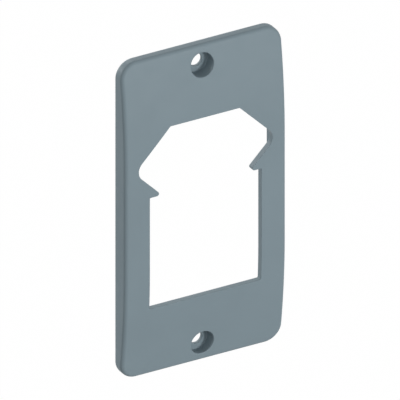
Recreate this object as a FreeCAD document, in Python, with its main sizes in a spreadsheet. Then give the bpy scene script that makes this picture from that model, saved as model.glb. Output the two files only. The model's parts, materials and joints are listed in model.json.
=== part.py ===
import FreeCAD, Part
import math
import os

import Sketcher

# Switch cover plate
#
# One moulded shell, modelled upright as it hangs on its box. +Z is up, the front looks along -Y, and the
# rim's back face lies on the plane Y = 0. The origin is the middle of the line between the two screw holes.
# Sizes are in millimetres, angles in degrees.

SIZES = {
    # Outline and crown of the front
    "plate_width": 60.0,
    "plate_height": 115.4,
    "centre_thickness": 6.6,
    "end_thickness": 3.3,
    "flat_length": 38.0,
    "corner_radius": 6.0,
    "edge_radius": 1.4,
    # Shell behind the front skin
    "skin_thickness": 2.3,
    "rim_width": 3.6,
    "hollow_corner_radius": 2.4,
    # Screw pillars, each with a sunk seat for a pan head screw
    "screw_inset": 6.95,
    "clearance_diameter": 4.5,
    "head_diameter": 8.4,
    "seat_thickness": 1.4,
    "pillar_wall": 1.4,
    "pillar_proud": 1.1,
    # Opening, placed by the width of the frame that is left round it
    "end_frame": 25.2,
    "side_frame": 9.2,
    "notch_frame": 5.1,
    "shoulder_run": 12.0,
    "slant_angle": 45.0,
    "notch_radius": 4.1,
    "hook_reach": 3.4,
    "hook_radius": 0.8,
    "opening_corner_radius": 0.5,
}

# How far a cut starts outside the solid, so that it never ends on a face of it
CUT_OVERRUN = 1.0
TOLERANCE = 1e-4

# The front crown is a flat middle between two arcs tangent to it. These are the arcs' run along Z, their drop
# from the middle to the ends, and the radius that gives both.
CROWN_RUN = "((Sizes.plate_height - Sizes.flat_length) / 2)"
CROWN_DROP = "(Sizes.centre_thickness - Sizes.end_thickness)"
CROWN_RADIUS = f"(({CROWN_RUN}^2 + {CROWN_DROP}^2) / (2 * {CROWN_DROP}))"

SCREW_HEIGHT = "(Sizes.plate_height / 2 - Sizes.screw_inset)"

# Distance of the front face from the back plane, at the height of a screw
FRONT_AT_SCREW = (
    f"(Sizes.centre_thickness - {CROWN_RADIUS}"
    f" + sqrt({CROWN_RADIUS}^2 - ({SCREW_HEIGHT} - Sizes.flat_length / 2)^2))"
)


def make_sheet(document):
    """The driving dimensions, one to a row."""
    sheet = document.addObject("Spreadsheet::Sheet", "Sizes")
    for row, (alias, value) in enumerate(SIZES.items(), start=1):
        sheet.set(f"A{row}", alias)
        sheet.set(f"B{row}", str(value))
        sheet.setAlias(f"B{row}", alias)
    document.recompute()
    return sheet


def add_sketch(body, name, plane_role):
    """An empty sketch on one of the body's own origin planes."""
    sketch = body.newObject("Sketcher::SketchObject", name)
    plane = next(item for item in body.Origin.OriginFeatures if item.Role == plane_role)
    sketch.AttachmentSupport = [(plane, "")]
    sketch.MapMode = "FlatFace"
    return sketch


def drive(sketch, name, constraint, expression):
    """Add a dimension to a sketch and bind it to an expression of the sizes."""
    index = sketch.addConstraint(constraint)
    sketch.renameConstraint(index, name)
    sketch.setExpression(f"Constraints.{name}", expression)


def segment(start, end):
    """A straight sketch line between two points of the sketch plane."""
    return Part.LineSegment(FreeCAD.Vector(*start, 0), FreeCAD.Vector(*end, 0))


def arc(centre, radius, start_angle, end_angle):
    """A sketch arc, anticlockwise from start_angle to end_angle, in degrees."""
    circle = Part.Circle(FreeCAD.Vector(*centre, 0), FreeCAD.Vector(0, 0, 1), radius)
    return Part.ArcOfCircle(circle, math.radians(start_angle), math.radians(end_angle))


def crown_profile(body, name, back, front, half_height, radius):
    """Side view of the crown on the YZ plane: a back line, a flat front and two tangent arcs.

    back is the back line's distance behind the back plane, or None for a back line on that plane. The rest
    are expressions of the sizes: the front flat's distance in front of that plane, half the profile's height
    and the arcs' radius.
    """
    sketch = add_sketch(body, name, "YZ_Plane")
    # A rough shape is enough here: the constraints below set every size.
    half, depth, flat, bend = 50.0, 6.0, 17.0, 250.0
    ends = depth - 2.0
    sweep = math.degrees(math.asin((half - flat) / bend))
    sketch.addGeometry([
        segment((1.0, -half), (1.0, half)),
        segment((1.0, half), (-ends, half)),
        arc((bend - depth, flat), bend, 180 - sweep, 180),
        segment((-depth, flat), (-depth, -flat)),
        arc((bend - depth, -flat), bend, 180, 180 + sweep),
        segment((-ends, -half), (1.0, -half)),
    ], False)
    back_line, top, upper_arc, front_line, lower_arc, bottom = range(6)
    start, end, centre = 1, 2, 3
    horizontal_axis, vertical_axis = -1, -2
    origin = (-1, 1)
    for first, second in (
        ((back_line, end), (top, start)),
        ((top, end), (upper_arc, start)),
        ((lower_arc, end), (bottom, start)),
        ((bottom, end), (back_line, start)),
    ):
        sketch.addConstraint(Sketcher.Constraint("Coincident", *first, *second))
    sketch.addConstraint(Sketcher.Constraint("Tangent", upper_arc, end, front_line, start))
    sketch.addConstraint(Sketcher.Constraint("Tangent", front_line, end, lower_arc, start))
    for line in (top, bottom):
        sketch.addConstraint(Sketcher.Constraint("Horizontal", line))
    sketch.addConstraint(Sketcher.Constraint("Equal", upper_arc, lower_arc))
    # Symmetry about the horizontal axis also keeps these two lines vertical.
    for line in (back_line, front_line):
        sketch.addConstraint(Sketcher.Constraint("Symmetric", line, start, line, end, horizontal_axis))
    if back is None:
        sketch.addConstraint(Sketcher.Constraint("PointOnObject", back_line, start, vertical_axis))
    else:
        drive(sketch, "back", Sketcher.Constraint("DistanceX", *origin, back_line, start, 1.0), back)
    drive(sketch, "front", Sketcher.Constraint("DistanceX", front_line, start, *origin, depth), front)
    drive(sketch, "half_height",
          Sketcher.Constraint("DistanceY", *origin, back_line, end, half), half_height)
    drive(sketch, "flat_half",
          Sketcher.Constraint("DistanceY", *origin, upper_arc, centre, flat), "Sizes.flat_length / 2")
    drive(sketch, "crown_radius", Sketcher.Constraint("Radius", upper_arc, bend), radius)
    return sketch


def round_edges(body, name, base, edge_test, radius):
    """Fillet the edges of base that edge_test picks."""
    picked = [f"Edge{number}" for number, edge in enumerate(base.Shape.Edges, start=1) if edge_test(edge)]
    fillet = body.newObject("PartDesign::Fillet", name)
    fillet.Base = (base, picked)
    fillet.setExpression("Radius", radius)
    return fillet


def middle(edge):
    """The point half way along an edge."""
    return edge.valueAt((edge.FirstParameter + edge.LastParameter) / 2)


def runs_front_to_back(edge):
    """True for a straight edge along Y."""
    first, last = edge.Vertexes[0].Point, edge.Vertexes[-1].Point
    return abs(first.x - last.x) < TOLERANCE and abs(first.z - last.z) < TOLERANCE


def pillar_circles(body, name, diameter):
    """A circle at each screw, on the XZ plane."""
    sketch = add_sketch(body, name, "XZ_Plane")
    rough_height, rough_radius = 50.0, 3.0
    centre, vertical_axis = 3, -2
    origin = (-1, 1)
    for side in (1, -1):
        place = FreeCAD.Vector(0, side * rough_height, 0)
        sketch.addGeometry(Part.Circle(place, FreeCAD.Vector(0, 0, 1), rough_radius), False)
    upper, lower = 0, 1
    for circle in (upper, lower):
        sketch.addConstraint(Sketcher.Constraint("PointOnObject", circle, centre, vertical_axis))
    sketch.addConstraint(Sketcher.Constraint("Equal", upper, lower))
    drive(sketch, "upper_height",
          Sketcher.Constraint("DistanceY", *origin, upper, centre, rough_height), SCREW_HEIGHT)
    drive(sketch, "lower_height",
          Sketcher.Constraint("DistanceY", lower, centre, *origin, rough_height), SCREW_HEIGHT)
    drive(sketch, "diameter", Sketcher.Constraint("Diameter", upper, 2 * rough_radius), diameter)
    return sketch


def opening_outline(body):
    """The right half of the opening, closed along the plate's centre line, on the XZ plane.

    From the top corner a shoulder slants out to the rounded notch, the throat slants back in to the rounded
    tip of the hook, the hook's underside runs level out to the side, and the side drops to the bottom.
    """
    sketch = add_sketch(body, "opening_outline", "XZ_Plane")
    # A rough shape is enough here: the constraints below set every size.
    sketch.addGeometry([
        segment((0, 32), (13, 32)),
        segment((13, 32), (24, 21)),
        arc((21, 18), 4, -45, 45),
        segment((24, 15), (18, 9)),
        arc((18.5, 8.5), 0.7, 135, 270),
        segment((18.5, 7.8), (21, 7.8)),
        segment((21, 7.8), (21, -31.5)),
        arc((20.5, -31.5), 0.5, 270, 360),
        segment((20.5, -32), (0, -32)),
        segment((0, -32), (0, 32)),
    ], False)
    top, shoulder, notch, throat, hook, underside, side, corner, bottom, centre_line = range(10)
    start, end, centre = 1, 2, 3
    vertical_axis = -2
    origin = (-1, 1)
    for first, second in (
        ((top, end), (shoulder, start)),
        ((underside, end), (side, start)),
        ((bottom, end), (centre_line, start)),
        ((centre_line, end), (top, start)),
    ):
        sketch.addConstraint(Sketcher.Constraint("Coincident", *first, *second))
    for first, second in (
        ((shoulder, end), (notch, end)),
        ((notch, start), (throat, start)),
        ((throat, end), (hook, start)),
        ((hook, end), (underside, start)),
        ((side, end), (corner, end)),
        ((corner, start), (bottom, start)),
    ):
        sketch.addConstraint(Sketcher.Constraint("Tangent", *first, *second))
    for line in (top, underside, bottom):
        sketch.addConstraint(Sketcher.Constraint("Horizontal", line))
    sketch.addConstraint(Sketcher.Constraint("Vertical", side))
    for point in (start, end):
        sketch.addConstraint(Sketcher.Constraint("PointOnObject", centre_line, point, vertical_axis))

    opening_half_height = "Sizes.plate_height / 2 - Sizes.end_frame"
    notch_half_width = "Sizes.plate_width / 2 - Sizes.notch_frame"
    side_half_width = "Sizes.plate_width / 2 - Sizes.side_frame"
    drive(sketch, "top_height",
          Sketcher.Constraint("DistanceY", *origin, top, end, 32.0), opening_half_height)
    drive(sketch, "bottom_depth",
          Sketcher.Constraint("DistanceY", bottom, end, *origin, 32.0), opening_half_height)
    drive(sketch, "top_half_width",
          Sketcher.Constraint("DistanceX", *origin, top, end, 13.0),
          f"{notch_half_width} - Sizes.shoulder_run")
    drive(sketch, "shoulder_slant",
          Sketcher.Constraint("Angle", shoulder, math.radians(-45)), "-Sizes.slant_angle * 1 deg")
    drive(sketch, "throat_slant",
          Sketcher.Constraint("Angle", throat, math.radians(-135)), "(Sizes.slant_angle - 180) * 1 deg")
    drive(sketch, "notch_radius", Sketcher.Constraint("Radius", notch, 4.0), "Sizes.notch_radius")
    drive(sketch, "notch_centre",
          Sketcher.Constraint("DistanceX", *origin, notch, centre, 21.0),
          f"{notch_half_width} - Sizes.notch_radius")
    drive(sketch, "hook_radius", Sketcher.Constraint("Radius", hook, 0.7), "Sizes.hook_radius")
    drive(sketch, "hook_centre",
          Sketcher.Constraint("DistanceX", *origin, hook, centre, 18.5),
          f"{side_half_width} - Sizes.hook_reach + Sizes.hook_radius")
    drive(sketch, "side_distance",
          Sketcher.Constraint("DistanceX", *origin, side, start, 21.0), side_half_width)
    drive(sketch, "corner_radius",
          Sketcher.Constraint("Radius", corner, 0.5), "Sizes.opening_corner_radius")
    return sketch


def cut_through(body, name, sketch):
    """Pocket a sketch through everything, both ways from its plane."""
    pocket = body.newObject("PartDesign::Pocket", name)
    pocket.Profile = sketch
    pocket.SideType = "Symmetric"
    pocket.Type = "ThroughAll"
    return pocket


def build_plate(document, sheet):
    """The whole moulding as one body."""
    body = document.addObject("PartDesign::Body", "cover_plate")
    body.Label = "cover_plate"

    # Crowned block: the side profile carried across the plate's width
    block = body.newObject("PartDesign::Pad", "crowned_block")
    block.Profile = crown_profile(
        body, "crown_profile", None, "Sizes.centre_thickness", "Sizes.plate_height / 2", CROWN_RADIUS)
    block.SideType = "Symmetric"
    block.setExpression("Length", "Sizes.plate_width")
    document.recompute()

    # Rounded corners in front view
    corners = round_edges(body, "rounded_corners", block, runs_front_to_back, "Sizes.corner_radius")
    document.recompute()

    # Rounded front edge, all the way round the outline
    half_width = float(sheet.plate_width) / 2
    half_height = float(sheet.plate_height) / 2
    corner = float(sheet.corner_radius)

    def on_front_outline(edge):
        point = middle(edge)
        beyond_x = abs(point.x) - (half_width - corner)
        beyond_z = abs(point.z) - (half_height - corner)
        if beyond_x > 0 and beyond_z > 0:
            on_outline = abs(math.hypot(beyond_x, beyond_z) - corner) < TOLERANCE
        else:
            on_outline = abs(max(beyond_x, beyond_z) - corner) < TOLERANCE
        in_front = max(vertex.Point.y for vertex in edge.Vertexes) < -TOLERANCE
        return on_outline and in_front

    front = round_edges(body, "rounded_front", corners, on_front_outline, "Sizes.edge_radius")
    document.recompute()

    # Hollow behind the skin: the same crown, one skin thickness further back, inside the rim
    hollow = body.newObject("PartDesign::Pocket", "back_hollow")
    hollow.Profile = crown_profile(
        body, "hollow_profile", str(CUT_OVERRUN), "Sizes.centre_thickness - Sizes.skin_thickness",
        "Sizes.plate_height / 2 - Sizes.rim_width", f"{CROWN_RADIUS} - Sizes.skin_thickness")
    hollow.SideType = "Symmetric"
    hollow.setExpression("Length", "Sizes.plate_width - 2 * Sizes.rim_width")
    document.recompute()

    inner_half_width = half_width - float(sheet.rim_width)

    def in_hollow_corner(edge):
        return runs_front_to_back(edge) and abs(abs(middle(edge).x) - inner_half_width) < TOLERANCE

    hollow_corners = round_edges(
        body, "hollow_corners", hollow, in_hollow_corner, "Sizes.hollow_corner_radius")
    document.recompute()

    # Screw pillars, from just behind the rim to the middle of the skin
    pillars = body.newObject("PartDesign::Pad", "screw_pillars")
    pillars.Profile = pillar_circles(
        body, "pillar_outlines", "Sizes.head_diameter + 2 * Sizes.pillar_wall")
    pillars.SideType = "Two sides"
    pillars.setExpression("Length", f"{FRONT_AT_SCREW} - Sizes.skin_thickness / 2")
    pillars.setExpression("Length2", "Sizes.pillar_proud")
    document.recompute()

    # Sunk seat for the screw head, open to the front. Its floor is one seat thickness from the pillar's back.
    seat_outlines = pillar_circles(body, "seat_outlines", "Sizes.head_diameter")
    seat_outlines.setExpression("AttachmentOffset.Base.z", "Sizes.seat_thickness - Sizes.pillar_proud")
    seats = body.newObject("PartDesign::Pocket", "head_seats")
    seats.Profile = seat_outlines
    seats.Reversed = True
    seats.Type = "ThroughAll"
    document.recompute()

    # Clearance holes for the screws
    holes = cut_through(
        body, "clearance_holes", pillar_circles(body, "clearance_outlines", "Sizes.clearance_diameter"))
    document.recompute()

    # Opening: its right half, then the same cut mirrored to the left
    half_opening = cut_through(body, "half_opening", opening_outline(body))
    document.recompute()
    opening = body.newObject("PartDesign::Mirrored", "opening")
    opening.Originals = [half_opening]
    opening.MirrorPlane = (
        next(item for item in body.Origin.OriginFeatures if item.Role == "YZ_Plane"), [""])
    body.Tip = opening
    document.recompute()

    steps = [block, corners, front, hollow, hollow_corners, pillars, seats, holes, half_opening, opening]
    return body, steps


def check_document(document):
    """Stop if any object failed to compute or any sketch is loose."""
    for item in document.Objects:
        if "Invalid" in item.State or "Error" in item.State:
            raise RuntimeError(f"{item.Label} failed: {item.State}")
        if item.isDerivedFrom("Sketcher::SketchObject") and not item.FullyConstrained:
            raise RuntimeError(f"{item.Label} isn't fully constrained")


def check_steps(steps):
    """Stop unless each feature changed the volume in the way it should, and left one valid solid."""
    # The fillets in the hollow's inside corners leave more plastic there. Every other fillet takes some off.
    adds = {"crowned_block", "hollow_corners", "screw_pillars"}
    volume = 0.0
    for step in steps:
        shape = step.Shape
        if shape.isNull() or not shape.isValid() or len(shape.Solids) != 1:
            raise RuntimeError(f"{step.Label} left {len(shape.Solids)} solids, valid {shape.isValid()}")
        if (shape.Volume > volume) != (step.Name in adds):
            raise RuntimeError(f"{step.Label} changed the volume the wrong way")
        volume = shape.Volume
        print(f"{step.Label}: {volume:.1f} cubic mm")


def main():
    document = FreeCAD.newDocument("switch_cover_plate")
    sheet = make_sheet(document)
    body, steps = build_plate(document, sheet)
    check_document(document)
    check_steps(steps)
    os.makedirs("parts", exist_ok=True)
    body.Shape.exportStep(f"parts/{body.Label}.step")


main()
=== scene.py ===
"""Looks of the switch cover plate: one moulding of grey-blue plastic, lit softly in front of white.

The plate's own mesh is worked out here as grids of points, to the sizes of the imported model, with every edge
slightly rounded as it leaves the mould. Sizes of the plate are in millimetres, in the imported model's frame:
+Z is up, the front looks along -Y, and the rim's back face lies on the plane Y = 0.
"""

import json
import logging
import math
from dataclasses import dataclass
from enum import Enum

import bmesh
import bpy
import numpy as np
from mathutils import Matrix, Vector

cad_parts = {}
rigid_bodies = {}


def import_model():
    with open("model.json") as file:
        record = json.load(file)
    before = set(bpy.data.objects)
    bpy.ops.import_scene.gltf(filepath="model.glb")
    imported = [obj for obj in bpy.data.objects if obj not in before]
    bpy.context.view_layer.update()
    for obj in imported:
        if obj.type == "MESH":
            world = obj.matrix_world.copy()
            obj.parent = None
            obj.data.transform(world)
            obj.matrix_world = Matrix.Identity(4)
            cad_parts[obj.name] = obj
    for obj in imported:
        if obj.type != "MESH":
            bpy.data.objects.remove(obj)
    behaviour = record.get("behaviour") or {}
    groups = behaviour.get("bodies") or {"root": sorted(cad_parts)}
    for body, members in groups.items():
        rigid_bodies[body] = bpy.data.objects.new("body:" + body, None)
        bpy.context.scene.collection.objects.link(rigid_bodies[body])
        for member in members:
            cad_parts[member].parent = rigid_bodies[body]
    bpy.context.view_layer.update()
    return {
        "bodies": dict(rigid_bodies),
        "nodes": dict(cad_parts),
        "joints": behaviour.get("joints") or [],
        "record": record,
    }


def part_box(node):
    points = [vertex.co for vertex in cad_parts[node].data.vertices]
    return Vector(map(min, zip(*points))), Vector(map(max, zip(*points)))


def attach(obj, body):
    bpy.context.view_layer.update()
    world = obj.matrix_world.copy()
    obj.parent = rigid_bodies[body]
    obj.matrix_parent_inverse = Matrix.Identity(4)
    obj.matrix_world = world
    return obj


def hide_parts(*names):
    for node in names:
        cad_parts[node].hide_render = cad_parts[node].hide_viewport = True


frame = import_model()

MM = 0.001
WHITE = (1.0, 1.0, 1.0, 1.0)

# Columns of X and Z among a point's three
XZ = [0, 2]

log = logging.getLogger("cover_plate")


class Layer(Enum):
    """The two skins of the shell, each with its distance behind the front face as a share of the wall."""

    FRONT = 0.0
    BACK = 1.0


class End(Enum):
    """The two ends of the plate, as the sign of Z there."""

    LOWER = -1.0
    UPPER = 1.0


def slerp(first: np.ndarray, last: np.ndarray, steps: int) -> np.ndarray:
    """Turn evenly from one unit vector to another.

    With w the angle between the two, the vector a share t of the way round is
    (sin((1 - t) w) first + sin(t w) last) / sin(w).

    Args:
        first: unit vectors, one to a row.
        last: as many unit vectors, none along its first or straight against it.
        steps: number of equal turns from first to last.

    Returns:
        An array of steps + 1 vectors for each row, with the step as its first axis.
    """
    share = np.linspace(0.0, 1.0, steps + 1)[:, None, None]
    cosine = np.clip((first * last).sum(axis=-1, keepdims=True), -1.0, 1.0)
    angle = np.arccos(cosine)[None]
    return (np.sin((1 - share) * angle) * first + np.sin(share * angle) * last) / np.sin(angle)


def blend_rows(inner: np.ndarray, outer: np.ndarray, steps: int) -> np.ndarray:
    """Fill the band between two lines of points with evenly spaced rows.

    A row a share t of the way across is (1 - t) inner + t outer.

    Args:
        inner: points of the first row.
        outer: as many points of the last row.
        steps: number of strips in the band.

    Returns:
        The points, with the row as the first axis.
    """
    share = np.linspace(0.0, 1.0, steps + 1)[:, None, None]
    return (1 - share) * inner + share * outer


def cross(first: np.ndarray, second: np.ndarray) -> np.ndarray:
    """Cross products of the rows of XZ vectors, as first x times second z less first z times second x."""
    return first[:, 0] * second[:, 1] - first[:, 1] * second[:, 0]


def rounded_path(corners: np.ndarray, radii: np.ndarray, steps: int) -> tuple[np.ndarray, np.ndarray]:
    """Round the corners of an open path of straight runs.

    At each inner corner the arc's centre lies on the bisector of the two runs, at radius / sin(half the
    corner's angle) from the corner, and the arc touches the runs at radius / tan(that half).

    Args:
        corners: the path's corners in the XZ plane, its two ends first and last.
        radii: one radius for each inner corner.
        steps: number of chords in each arc.

    Returns:
        The points of the path, and at each the unit normal that lies to the right of its direction.
    """
    corner = corners[1:-1]
    back = corners[:-2] - corner
    back /= np.linalg.norm(back, axis=1, keepdims=True)
    onward = corners[2:] - corner
    onward /= np.linalg.norm(onward, axis=1, keepdims=True)
    half = np.arccos((back * onward).sum(axis=1)) / 2
    bisector = back + onward
    bisector /= np.linalg.norm(bisector, axis=1, keepdims=True)
    centre = corner + bisector * (radii / np.sin(half))[:, None]
    run_to_arc = (radii / np.tan(half))[:, None]
    start = (corner + back * run_to_arc - centre) / radii[:, None]
    stop = (corner + onward * run_to_arc - centre) / radii[:, None]
    spokes = slerp(start, stop, steps)
    arcs = centre + spokes * radii[:, None]

    # A left turn has its centre on the left, so there the spokes point to the right of the path already.
    turn = np.sign(cross(onward, back))
    normals = spokes * turn[:, None]
    points = arcs.transpose(1, 0, 2).reshape(-1, 2)
    normals = normals.transpose(1, 0, 2).reshape(-1, 2)
    points = np.vstack([corners[:1], points, corners[-1:]])
    normals = np.vstack([normals[:1], normals, normals[-1:]])
    return points, normals


def polar_angles(points: np.ndarray) -> np.ndarray:
    """Angles of XZ points about the origin, from straight down through +X to straight up, in radians."""
    return np.arctan2(points[:, 1], points[:, 0])


def where_rays_meet(
    angles: np.ndarray, points: np.ndarray, values: np.ndarray,
) -> tuple[np.ndarray, np.ndarray]:
    """Meet rays from the origin with a path, and read values kept at the path's points.

    A ray meets the chord from start to stop a share cross(start, ray) / cross(start - stop, ray) of the way.

    Args:
        angles: directions of the rays.
        points: the path, with its polar angle always rising.
        values: one row for each point of the path.

    Returns:
        The points where the rays meet the path, and the values there, made unit vectors.
    """
    last = np.clip(np.searchsorted(polar_angles(points), angles), 1, len(points) - 1)
    start, stop = points[last - 1], points[last]
    ray = np.stack([np.cos(angles), np.sin(angles)], axis=1)
    run = start - stop
    share = (cross(start, ray) / cross(run, ray))[:, None]
    found = start - share * run
    value = (1 - share) * values[last - 1] + share * values[last]
    return found, value / np.linalg.norm(value, axis=1, keepdims=True)


class Patchwork:
    """Grids of points sewn into one closed mesh that is the same left and right."""

    def __init__(self) -> None:
        """Start with no grid."""
        self.points: list[np.ndarray] = []
        self.quads: list[np.ndarray] = []
        self.count = 0

    def add(self, grid: np.ndarray) -> None:
        """Add a grid of the right half, and its mirror image in the plane X = 0.

        Args:
            grid: points in millimetres, as rows by columns by 3.
        """
        for mirror in (1.0, -1.0):
            rows, columns = grid.shape[:2]
            index = np.arange(rows * columns).reshape(rows, columns) + self.count
            corners = [index[:-1, :-1], index[1:, :-1], index[1:, 1:], index[:-1, 1:]]
            self.quads.append(np.stack(corners, axis=-1).reshape(-1, 4))
            self.points.append((grid * (mirror, 1.0, 1.0)).reshape(-1, 3))
            self.count += rows * columns

    def sew(self, name: str, tolerance: float) -> bpy.types.Object:
        """Join the grids where their points meet, and turn every face outwards.

        Args:
            name: name of the new object and mesh.
            tolerance: points nearer than this, in millimetres, become one.

        Returns:
            The object, in metres and smoothly shaded.
        """
        mesh = bpy.data.meshes.new(name)
        mesh.from_pydata(np.vstack(self.points) * MM, [], np.vstack(self.quads).tolist())
        sewn = bmesh.new()
        sewn.from_mesh(mesh)
        bmesh.ops.remove_doubles(sewn, verts=sewn.verts, dist=tolerance * MM)
        bmesh.ops.recalc_face_normals(sewn, faces=sewn.faces)
        open_edges = sum(not edge.is_manifold for edge in sewn.edges)
        sewn.to_mesh(mesh)
        sewn.free()
        mesh.shade_smooth()
        log.info("%s: %d faces, %d open edges", name, len(mesh.polygons), open_edges)
        made = bpy.data.objects.new(name, mesh)
        bpy.context.scene.collection.objects.link(made)
        return made


@dataclass(frozen=True)
class MouldedPlastic:
    """Satin injection-moulded plastic with a fine spark-eroded grain.

    Colours are linear. Lengths are in metres, and the patterns stand still in object coordinates. The detail
    of a pattern is its number of finer layers, and its value is mostly between usual_low and usual_high.
    """

    name: str
    colour: tuple[float, float, float]
    mottle: float = 0.02
    mottle_size: float = 0.018
    mottle_detail: float = 2.0
    roughness: float = 0.5
    roughness_change: float = 0.05
    gloss: float = 0.2
    gloss_size: float = 0.004
    gloss_detail: float = 3.0
    grain_size: float = 0.00022
    grain_depth: float = 0.000004
    grain_detail: float = 1.0
    grain_strength: float = 1.0
    refraction: float = 1.45
    usual_low: float = 0.3
    usual_high: float = 0.7

    def make(self) -> bpy.types.Material:
        """Build the node tree.

        Returns:
            The material.
        """
        material = bpy.data.materials.new(self.name)
        material.use_nodes = True
        tree = material.node_tree
        nodes, links = tree.nodes, tree.links
        surface = nodes["Principled BSDF"]
        surface.inputs["IOR"].default_value = self.refraction
        surface.inputs["Specular IOR Level"].default_value = self.gloss
        place = nodes.new("ShaderNodeTexCoord").outputs["Object"]

        # Slow change of tone, as where the melt flowed
        flow = self._noise(tree, place, self.mottle_size, self.mottle_detail)
        tone = self._spread(tree, flow, 1 - self.mottle, 1 + self.mottle)
        tint = nodes.new("ShaderNodeMix")
        tint.data_type = "RGBA"
        tint.blend_type = "MULTIPLY"
        tint.inputs["Factor"].default_value = 1.0
        tint.inputs["A"].default_value = (*self.colour, 1.0)
        links.new(tone, tint.inputs["B"])
        links.new(tint.outputs["Result"], surface.inputs["Base Color"])

        # Gloss that varies a little over the face
        patches = self._noise(tree, place, self.gloss_size, self.gloss_detail)
        low, high = self.roughness - self.roughness_change, self.roughness + self.roughness_change
        links.new(self._spread(tree, patches, low, high), surface.inputs["Roughness"])

        # The mould's fine grain
        grain = self._noise(tree, place, self.grain_size, self.grain_detail)
        bump = nodes.new("ShaderNodeBump")
        bump.inputs["Strength"].default_value = self.grain_strength
        bump.inputs["Distance"].default_value = self.grain_depth
        links.new(grain, bump.inputs["Height"])
        links.new(bump.outputs["Normal"], surface.inputs["Normal"])
        return material

    @staticmethod
    def _noise(
        tree: bpy.types.NodeTree, place: bpy.types.NodeSocket, size: float, detail: float,
    ) -> bpy.types.NodeSocket:
        """Add a noise pattern.

        Args:
            tree: the material's nodes.
            place: coordinates that the pattern follows.
            size: width of one patch of the pattern, in metres.
            detail: number of finer layers on top of it.

        Returns:
            The pattern's value, from 0 to 1.
        """
        noise = tree.nodes.new("ShaderNodeTexNoise")
        noise.inputs["Scale"].default_value = 1 / size
        noise.inputs["Detail"].default_value = detail
        tree.links.new(place, noise.inputs["Vector"])
        return noise.outputs["Fac"]

    def _spread(
        self, tree: bpy.types.NodeTree, value: bpy.types.NodeSocket, low: float, high: float,
    ) -> bpy.types.NodeSocket:
        """Spread the usual values of a noise pattern over a range.

        Args:
            tree: the material's nodes.
            value: the pattern's value.
            low: result where the pattern is at its usual lowest.
            high: result where the pattern is at its usual highest.

        Returns:
            The result.
        """
        spread = tree.nodes.new("ShaderNodeMapRange")
        spread.inputs["From Min"].default_value = self.usual_low
        spread.inputs["From Max"].default_value = self.usual_high
        spread.inputs["To Min"].default_value = low
        spread.inputs["To Max"].default_value = high
        tree.links.new(value, spread.inputs["Value"])
        return spread.outputs["Result"]


GREY_BLUE = MouldedPlastic("grey_blue_plastic", colour=(0.218, 0.28, 0.313))


@dataclass(frozen=True)
class MeshPlan:
    """How the plate's mesh is divided. Lengths are in millimetres and angles in radians."""

    # Chords in each rounded corner
    opening_chords: int = 10
    outline_chords: int = 16
    hollow_chords: int = 8

    # Steps over each rounded edge
    front_edge_steps: int = 8
    opening_edge_steps: int = 4
    seat_edge_steps: int = 5

    # Columns: evenly spaced ones in the blocks that hold the screws, and rays that fill the gaps elsewhere
    block_half_width: float = 9.0
    block_columns: int = 24
    ray_spacing: float = math.radians(2.0)
    ray_clearance: float = math.radians(0.5)

    # Strips across each face
    skin_rows: int = 5
    rim_rows: int = 3
    fan_rows: int = 5
    side_wall_rows: int = 3
    hollow_wall_rows: int = 2
    pillar_wall_rows: int = 2
    pillar_end_rows: int = 4
    hole_rows: int = 2
    seat_floor_rows: int = 3
    seat_wall_rows: int = 3

    # Sewing, and the bevel on the edges that are still sharp
    tolerance: float = 0.002
    sharp_angle: float = math.radians(35.0)
    bevel_segments: int = 3


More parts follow.
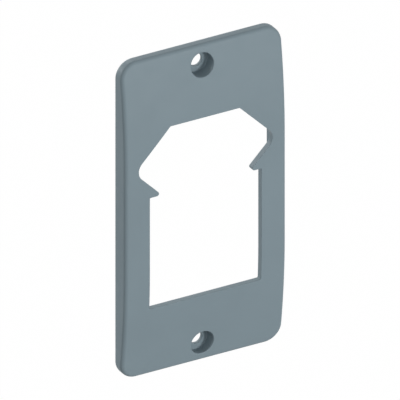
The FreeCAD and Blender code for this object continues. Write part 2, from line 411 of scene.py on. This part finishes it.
@dataclass
class CoverPlate:
    """The cover plate. Lengths are in millimetres, and the names are those of the part's own sizes."""

    plate_width: float
    plate_height: float
    centre_thickness: float
    pillar_proud: float
    screw_height: float
    hole_radius: float
    end_thickness: float = 3.3
    flat_length: float = 38.0
    corner_radius: float = 6.0
    edge_radius: float = 1.4
    skin_thickness: float = 2.3
    rim_width: float = 3.6
    seat_radius: float = 4.2
    seat_thickness: float = 1.4
    pillar_wall: float = 1.4
    end_frame: float = 25.2
    side_frame: float = 9.2
    notch_frame: float = 5.1
    shoulder_run: float = 12.0
    slant_angle: float = math.radians(45.0)
    notch_radius: float = 4.1
    hook_reach: float = 3.4
    hook_radius: float = 0.8
    opening_corner_radius: float = 0.5
    # Roundings too small for the part's source
    slant_corner_radius: float = 0.3
    seat_rounding: float = 0.3
    edge_rounding: float = 0.1
    plan: MeshPlan = MeshPlan()

    @classmethod
    def from_frame(cls, packed: dict) -> "CoverPlate":
        """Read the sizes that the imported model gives.


        Returns:
            The plate.
        """
        low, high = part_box("cover_plate")
        screws = next(mount for mount in packed["record"]["mounts"] if mount["name"] == "screw_holes")
        return cls(
            plate_width=(high.x - low.x) / MM,
            plate_height=(high.z - low.z) / MM,
            centre_thickness=-low.y / MM,
            pillar_proud=high.y / MM,
            screw_height=screws["dims"]["spacing_y_mm"] / 2,
            hole_radius=screws["dims"]["hole_r_mm"],
        )

    def __post_init__(self) -> None:
        """Work out the crown's arcs, the columns that all grids share and the rounded edges along them."""
        run = (self.plate_height - self.flat_length) / 2
        drop = self.centre_thickness - self.end_thickness
        self.crown_radius = (run**2 + drop**2) / (2 * drop)
        self.opening_half_height = self.plate_height / 2 - self.end_frame
        self._lay_out_columns()
        path = self.outline - self.outward * self.edge_radius
        self.edge_roll = self._rolled_edge(path, self.outward, self.edge_radius, self.plan.front_edge_steps)
        path = self.opening + self.into_plate * self.edge_rounding
        steps = self.plan.opening_edge_steps
        self.opening_rolls = {
            layer: self._rolled_edge(path, -self.into_plate, self.edge_rounding, steps, layer)
            for layer in Layer
        }

    def crown(self, height: np.ndarray, depth: float) -> np.ndarray:
        """Distance of a crowned surface in front of the back plane.

        Flat over the middle, then an arc about a centre that all the surfaces share, so a surface that lies
        depth behind the front has the arc's radius less depth.

        Args:
            height: Z of the points.
            depth: how far the surface lies behind the front face.

        Returns:
            The distances, which are -Y of the points.
        """
        beyond = np.maximum(np.abs(height) - self.flat_length / 2, 0.0)
        return self.centre_thickness - self.crown_radius + np.sqrt((self.crown_radius - depth)**2 - beyond**2)

    def crown_normal(self, height: np.ndarray) -> np.ndarray:
        """Outward normals of the crowned surfaces.

        They lean towards an end of the plate, with the height beyond the flat over the radius as their Z.

        Args:
            height: Z of the points.

        Returns:
            The unit normals.
        """
        beyond = np.maximum(np.abs(height) - self.flat_length / 2, 0.0) * np.sign(height)
        lean = beyond / self.crown_radius
        return np.stack([np.zeros_like(lean), -np.sqrt(1 - lean**2), lean], axis=1)

    def behind_front(self, flat: np.ndarray, depth: float) -> np.ndarray:
        """Lift XZ points on to the surface that lies that depth behind the front face."""
        return np.stack([flat[..., 0], -self.crown(flat[..., 1], depth), flat[..., 1]], axis=-1)

    def on_crown(self, flat: np.ndarray, layer: Layer) -> np.ndarray:
        """Lift XZ points on to one skin of the shell."""
        return self.behind_front(flat, layer.value * self.skin_thickness)

    @staticmethod
    def at_depth(flat: np.ndarray, y: float) -> np.ndarray:
        """Lift XZ points on to the plane at that Y."""
        return np.stack([flat[..., 0], np.full(flat.shape[:-1], y), flat[..., 1]], axis=-1)

    def _half_opening(self) -> tuple[np.ndarray, np.ndarray]:
        """Lay out the opening's right half, from bottom to top.

        Returns:
            The points, and the normals there, which point into the plate.
        """
        half_height = self.opening_half_height
        side = self.plate_width / 2 - self.side_frame
        notch = self.plate_width / 2 - self.notch_frame
        top = notch - self.shoulder_run
        slope = math.tan(self.slant_angle)
        # The shoulder and the throat would meet here without the notch's arc.
        point = notch - self.notch_radius + self.notch_radius / math.cos(self.slant_angle)
        point_height = half_height - (point - top) * slope
        hook_centre = side - self.hook_reach + self.hook_radius
        throat_height = point_height + (hook_centre - point) * slope
        underside = throat_height - self.hook_radius / math.cos(self.slant_angle) - self.hook_radius
        hook = point + (underside - point_height) / slope
        corners = np.array([
            (0.0, -half_height), (side, -half_height), (side, underside), (hook, underside),
            (point, point_height), (top, half_height), (0.0, half_height),
        ])
        radii = np.array([
            self.opening_corner_radius, self.slant_corner_radius, self.hook_radius, self.notch_radius,
            self.slant_corner_radius,
        ])
        return rounded_path(corners, radii, self.plan.opening_chords)

    def _half_outline(self, inset: float, steps: int) -> tuple[np.ndarray, np.ndarray]:
        """Lay out the right half of the outline, or of a line that runs inside it, from bottom to top.

        Args:
            inset: how far inside the outline the line runs.
            steps: number of chords in each corner.

        Returns:
            The points and the outward normals there.
        """
        half_width, half_height = self.plate_width / 2 - inset, self.plate_height / 2 - inset
        corners = np.array([
            (0.0, -half_height), (half_width, -half_height), (half_width, half_height), (0.0, half_height),
        ])
        return rounded_path(corners, np.full(2, self.corner_radius - inset), steps)

    def _lay_out_columns(self) -> None:
        """Choose the columns that run from the opening to the outline.

        Each column is a ray from the plate's middle. There is one at every point of the opening, the hollow
        and the outline, some between them, and evenly spaced ones in the two blocks that hold the screws.
        """
        plan = self.plan
        opening, into_plate = self._half_opening()
        outline, normals = self._half_outline(inset=0.0, steps=plan.outline_chords)
        hollow = self._half_outline(inset=self.rim_width, steps=plan.hollow_chords)[0]
        places = np.linspace(0.0, plan.block_half_width, plan.block_columns + 1)
        block = np.arctan2(self.opening_half_height, places[::-1])
        edge_of_block = block[0]
        features = np.concatenate([polar_angles(path) for path in (opening, hollow, outline)])
        between = np.arange(-edge_of_block, edge_of_block, plan.ray_spacing)
        between = between[np.abs(between[:, None] - features).min(axis=1) > plan.ray_clearance]
        middle = np.concatenate([features, between])
        middle = middle[np.abs(middle) < edge_of_block - plan.ray_clearance / 2]
        angles = np.concatenate([-block[::-1], np.sort(middle), block])
        self.opening, self.into_plate = where_rays_meet(angles, opening, into_plate)
        self.outline, self.outward = where_rays_meet(angles, outline, normals)
        self.hollow = where_rays_meet(angles, hollow, hollow)[0]
        self.middle = slice(plan.block_columns, len(angles) - plan.block_columns)

    def _rolled_edge(
        self,
        path: np.ndarray,
        wall_normal: np.ndarray,
        radius: float,
        steps: int,
        layer: Layer = Layer.FRONT,
    ) -> np.ndarray:
        """Grid of a rounded edge, from a skin's face to a wall that stands across it.

        It is the surface that a ball inside the plate leaves when it rolls along the edge. The ball's centre
        keeps one radius from the skin's face and from the wall, and the surface turns from the skin's normal
        to the wall's.

        Args:
            path: the way of the ball's centre, as XZ points.
            wall_normal: the wall's outward normals along it, as XZ vectors.
            radius: the ball's radius.
            steps: number of steps of the turn.
            layer: the skin that the edge belongs to.

        Returns:
            The grid, with the step of the turn as its first axis.
        """
        side = 1 - 2 * layer.value
        depth = layer.value * self.skin_thickness + side * radius
        turn = slerp(side * self.crown_normal(path[:, 1]), self.at_depth(wall_normal, 0.0), steps)
        return self.behind_front(path, depth) + radius * turn

    def _seat_roll(self, end: End) -> np.ndarray:
        """Grid of the rounded rim of a screw's seat, from the front face in to the seat's wall.

        Args:
            end: which screw.

        Returns:
            The grid, with the step of the turn as its first axis.
        """
        reach = self.seat_radius + self.seat_rounding
        path = self._screw_circle(end, reach)
        inward = (self._screw_circle(end, 0.0) - path) / reach
        return self._rolled_edge(path, inward, self.seat_rounding, self.plan.seat_edge_steps)

    def _screw_circle(self, end: End, radius: float) -> np.ndarray:
        """Right half of a circle about a screw hole, from the side nearer the opening to the outer side.

        A pillar's foot runs half on the skin and half on the rim, so its points are shared out between the
        two arcs on either side of the rim's inner wall, and every circle has its points at those angles.

        Args:
            end: which screw hole.
            radius: the circle's radius.

        Returns:
            The points in the XZ plane.
        """
        pillar = self.seat_radius + self.pillar_wall
        inner_wall = self.plate_height / 2 - self.rim_width
        crossing = math.asin((inner_wall - self.screw_height) / pillar)
        quarter = math.pi / 2
        on_skin = np.linspace(-quarter, crossing, self.plan.block_columns + self.plan.skin_rows + 1)
        on_rim = np.linspace(crossing, quarter, self.plan.block_columns + self.plan.rim_rows + 1)
        angle = np.concatenate([on_skin, on_rim[1:]])
        across = radius * np.cos(angle)
        along = self.screw_height + radius * np.sin(angle)
        return np.stack([across, end.value * along], axis=1)

    def _add_ring(self, patches: Patchwork) -> None:
        """Add the walls of the opening and the outside, and the skins and rim away from the screws.

        Args:
            patches: where the grids go.
        """
        plan, middle = self.plan, self.middle
        front_roll, back_roll = self.opening_rolls[Layer.FRONT], self.opening_rolls[Layer.BACK]
        patches.add(front_roll)
        patches.add(blend_rows(front_roll[-1], back_roll[-1], plan.side_wall_rows))
        patches.add(back_roll)
        patches.add(self.edge_roll)
        patches.add(blend_rows(self.edge_roll[-1], self.at_depth(self.outline, 0.0), plan.side_wall_rows))

        inner, outer = front_roll[0][:, XZ], self.edge_roll[0][:, XZ]
        front = blend_rows(inner[middle], outer[middle], plan.skin_rows + plan.rim_rows)
        patches.add(self.on_crown(front, Layer.FRONT))
        skin = blend_rows(back_roll[0][:, XZ][middle], self.hollow[middle], plan.skin_rows)
        patches.add(self.on_crown(skin, Layer.BACK))
        patches.add(self.at_depth(blend_rows(self.hollow[middle], self.outline[middle], plan.rim_rows), 0.0))
        foot = self.on_crown(self.hollow[middle], Layer.BACK)
        patches.add(blend_rows(foot, self.at_depth(self.hollow[middle], 0.0), plan.hollow_wall_rows))

    def _add_screw_block(self, patches: Patchwork, end: End) -> None:
        """Add the part of the plate round one screw, from the seat in front to the pillar behind.

        Args:
            patches: where the grids go.
            end: which screw.
        """
        plan = self.plan
        count = plan.block_columns
        block = slice(count, None, -1) if end is End.LOWER else slice(-count - 1, None)
        outline, hollow = self.outline[block], self.hollow[block]
        front_inner = self.opening_rolls[Layer.FRONT][0][block][:, XZ]
        back_inner = self.opening_rolls[Layer.BACK][0][block][:, XZ]
        front_outer = self.edge_roll[0][block][:, XZ]
        skin_end = count + plan.skin_rows

        # Front face, from the seat's rim out to the block's three sides
        seat_roll = self._seat_roll(end)
        patches.add(seat_roll)
        side = blend_rows(front_inner[:1], front_outer[:1], plan.skin_rows + plan.rim_rows)[:, 0]
        around = np.vstack([front_inner[::-1], side[1:-1], front_outer])
        patches.add(self.on_crown(blend_rows(seat_roll[0][:, XZ], around, plan.fan_rows), Layer.FRONT))

        # Skin behind, from the pillar's foot out to the opening and the rim's inner wall
        foot = self._screw_circle(end, self.seat_radius + self.pillar_wall)
        skin_foot, rim_foot = foot[:skin_end + 1], foot[skin_end:]
        side = blend_rows(back_inner[:1], hollow[:1], plan.skin_rows)[:, 0]
        around = np.vstack([back_inner[::-1], side[1:]])
        patches.add(self.on_crown(blend_rows(skin_foot, around, plan.fan_rows), Layer.BACK))

        # Rim's back face, from the pillar's foot out to the outline
        side = blend_rows(hollow[:1], outline[:1], plan.rim_rows)[:, 0]
        around = np.vstack([side[:-1], outline])
        patches.add(self.at_depth(blend_rows(rim_foot, around, plan.fan_rows), 0.0))

        # Rim's inner wall beside the pillar
        ledge = blend_rows(rim_foot[:1], hollow[:1], plan.fan_rows)[:, 0]
        wall = blend_rows(self.on_crown(ledge, Layer.BACK), self.at_depth(ledge, 0.0), plan.hollow_wall_rows)
        patches.add(wall)

        # Pillar, its hole and the seat
        proud, seat_floor = self.pillar_proud, self.pillar_proud - self.seat_thickness
        hole = self._screw_circle(end, self.hole_radius)
        seat_wall = self._screw_circle(end, self.seat_radius)
        grids = (
            (self.on_crown(skin_foot, Layer.BACK), self.at_depth(skin_foot, 0.0), plan.hollow_wall_rows),
            (self.at_depth(foot, 0.0), self.at_depth(foot, proud), plan.pillar_wall_rows),
            (self.at_depth(foot, proud), self.at_depth(hole, proud), plan.pillar_end_rows),
            (self.at_depth(hole, proud), self.at_depth(hole, seat_floor), plan.hole_rows),
            (self.at_depth(hole, seat_floor), self.at_depth(seat_wall, seat_floor), plan.seat_floor_rows),
            (self.at_depth(seat_wall, seat_floor), seat_roll[-1], plan.seat_wall_rows),
        )
        for first, last, rows in grids:
            patches.add(blend_rows(first, last, rows))

    def build(self, finish: MouldedPlastic) -> bpy.types.Object:
        """Make the moulding and dress it.

        Args:
            finish: its plastic.

        Returns:
            The object.
        """
        patches = Patchwork()
        self._add_ring(patches)
        for end in End:
            self._add_screw_block(patches, end)
        plate = patches.sew("moulded_plate", self.plan.tolerance)
        plate.data.materials.append(finish.make())

        rounding = plate.modifiers.new("edge_rounding", "BEVEL")
        rounding.limit_method = "ANGLE"
        rounding.angle_limit = self.plan.sharp_angle
        rounding.width = self.edge_rounding * MM
        rounding.segments = self.plan.bevel_segments
        rounding.use_clamp_overlap = False
        rounding.miter_outer = "MITER_ARC"
        plate.modifiers.new("flat_faces_stay_flat", "WEIGHTED_NORMAL")

        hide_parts("cover_plate")
        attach(plate, "root")
        return plate


def direction(azimuth: float, elevation: float) -> Vector:
    """Unit vector from the plate towards a place in the room.

    It is (sin azimuth cos elevation, -cos azimuth cos elevation, sin elevation).

    Args:
        azimuth: degrees round from straight in front of the plate, with 90 on its +X side.
        elevation: degrees above the horizontal.

    Returns:
        The vector.
    """
    turn, tilt = math.radians(azimuth), math.radians(elevation)
    return Vector((math.sin(turn) * math.cos(tilt), -math.cos(turn) * math.cos(tilt), math.sin(tilt)))


@dataclass(frozen=True)
class Lamp:
    """A square soft lamp. Angles are in degrees, as seen from the plate, and lengths in metres."""

    name: str
    azimuth: float
    elevation: float
    distance: float
    size: float
    watts: float

    def place(self) -> None:
        """Put up the lamp, facing the plate's middle."""
        towards = direction(self.azimuth, self.elevation)
        light = bpy.data.lights.new(self.name, "AREA")
        light.size = self.size
        light.energy = self.watts
        lamp = bpy.data.objects.new(self.name, light)
        lamp.location = towards * self.distance
        lamp.rotation_euler = towards.to_track_quat("Z", "Y").to_euler()
        lamp.visible_camera = False
        bpy.context.scene.collection.objects.link(lamp)


@dataclass
class Studio:
    """White surroundings, lamps and camera. Lengths are in metres and angles in degrees."""

    floor_drop: float = 0.25
    floor_reach: float = 2.5
    floor_white: float = 0.3
    floor_roughness: float = 1.0
    floor_gloss: float = 0.0
    floor_glow: float = 0.996
    ambient: float = 0.42
    lamps: tuple[Lamp, ...] = (
        Lamp("front_lamp", azimuth=20.0, elevation=0.0, distance=1.5, size=0.35, watts=10.6),
        Lamp("fill_lamp", azimuth=-30.0, elevation=20.0, distance=1.2, size=0.9, watts=2.1),
        Lamp("edge_lamp", azimuth=-155.0, elevation=12.0, distance=1.5, size=0.35, watts=10.0),
        Lamp("top_lamp", azimuth=170.0, elevation=20.0, distance=1.5, size=0.35, watts=8.8),
    )

    # The photograph is a parallel view
    camera_azimuth: float = -29.7
    camera_elevation: float = 27.85
    camera_distance: float = 1.0

    # In the photograph's own pixels, with the plate's origin counted from its top left corner
    picture_width: float = 400.0
    origin_across: float = 195.75
    origin_down: float = 198.3
    metres_per_pixel: float = 0.3237 * MM

    @staticmethod
    def _white_when_seen(tree: bpy.types.NodeTree) -> bpy.types.NodeSocket:
        """Tell the rays that show the surroundings from those that light the plate.

        Args:
            tree: where the nodes go.

        Returns:
            A value that is 1 for the rays that show them, and 0 for the others.
        """
        path = tree.nodes.new("ShaderNodeLightPath")
        seen = path.outputs["Is Camera Ray"]
        for kind in ("Is Glossy Ray", "Is Transmission Ray"):
            either = tree.nodes.new("ShaderNodeMath")
            either.operation = "MAXIMUM"
            tree.links.new(seen, either.inputs[0])
            tree.links.new(path.outputs[kind], either.inputs[1])
            seen = either.outputs["Value"]
        return seen

    def build_world(self) -> None:
        """Light the plate evenly from all round, and show white."""
        world = bpy.data.worlds.new("white_room")
        bpy.context.scene.world = world
        world.use_nodes = True
        tree = world.node_tree
        background = tree.nodes["Background"]
        background.inputs["Color"].default_value = WHITE
        strength = tree.nodes.new("ShaderNodeMapRange")
        strength.inputs["To Min"].default_value = self.ambient
        strength.inputs["To Max"].default_value = 1.0
        tree.links.new(self._white_when_seen(tree), strength.inputs["Value"])
        tree.links.new(strength.outputs["Result"], background.inputs["Strength"])

    def build_floor(self) -> None:
        """Lay a white floor that keeps the plate's shadow."""
        reach = self.floor_reach
        corners = [(-reach, -reach), (reach, -reach), (reach, reach), (-reach, reach)]
        mesh = bpy.data.meshes.new("floor")
        mesh.from_pydata([(x, y, -self.floor_drop) for x, y in corners], [], [(0, 1, 2, 3)])
        floor = bpy.data.objects.new("floor", mesh)
        bpy.context.scene.collection.objects.link(floor)

        material = bpy.data.materials.new("white_floor")
        material.use_nodes = True
        tree = material.node_tree
        surface = tree.nodes["Principled BSDF"]
        surface.inputs["Base Color"].default_value = (self.floor_white,) * 3 + (1.0,)
        surface.inputs["Roughness"].default_value = self.floor_roughness
        surface.inputs["Specular IOR Level"].default_value = self.floor_gloss
        glow = tree.nodes.new("ShaderNodeEmission")
        share = tree.nodes.new("ShaderNodeMath")
        share.operation = "MULTIPLY"
        share.inputs[1].default_value = self.floor_glow
        mix = tree.nodes.new("ShaderNodeMixShader")
        tree.links.new(self._white_when_seen(tree), share.inputs[0])
        tree.links.new(share.outputs["Value"], mix.inputs["Fac"])
        tree.links.new(surface.outputs["BSDF"], mix.inputs[1])
        tree.links.new(glow.outputs["Emission"], mix.inputs[2])
        tree.links.new(mix.outputs["Shader"], tree.nodes["Material Output"].inputs["Surface"])
        mesh.materials.append(material)

    def place_camera(self) -> None:
        """Set up the photograph's parallel view."""
        azimuth = math.radians(self.camera_azimuth)
        right = Vector((math.cos(azimuth), math.sin(azimuth), 0.0))
        back = direction(self.camera_azimuth, self.camera_elevation)
        up = back.cross(right)
        across = (self.picture_width / 2 - self.origin_across) * self.metres_per_pixel
        down = (self.picture_width / 2 - self.origin_down) * self.metres_per_pixel
        data = bpy.data.cameras.new("camera")
        data.type = "ORTHO"
        data.ortho_scale = self.picture_width * self.metres_per_pixel
        camera = bpy.data.objects.new("camera", data)
        camera.location = right * across - up * down + back * self.camera_distance
        camera.rotation_mode = "QUATERNION"
        camera.rotation_quaternion = back.to_track_quat("Z", "Y")
        bpy.context.scene.collection.objects.link(camera)
        bpy.context.scene.camera = camera

    def build(self) -> None:
        """Put up everything round the plate."""
        self.build_world()
        self.build_floor()
        for lamp in self.lamps:
            lamp.place()
        self.place_camera()
        bpy.context.scene.view_settings.view_transform = "Standard"


def main() -> None:
    """Build the plate and its surroundings."""
    logging.basicConfig(level=logging.INFO)
    plate = CoverPlate.from_frame(frame).build(GREY_BLUE)
    log.info("made %s", plate.name)
    Studio().build()


if __name__ == "__main__":
    main()
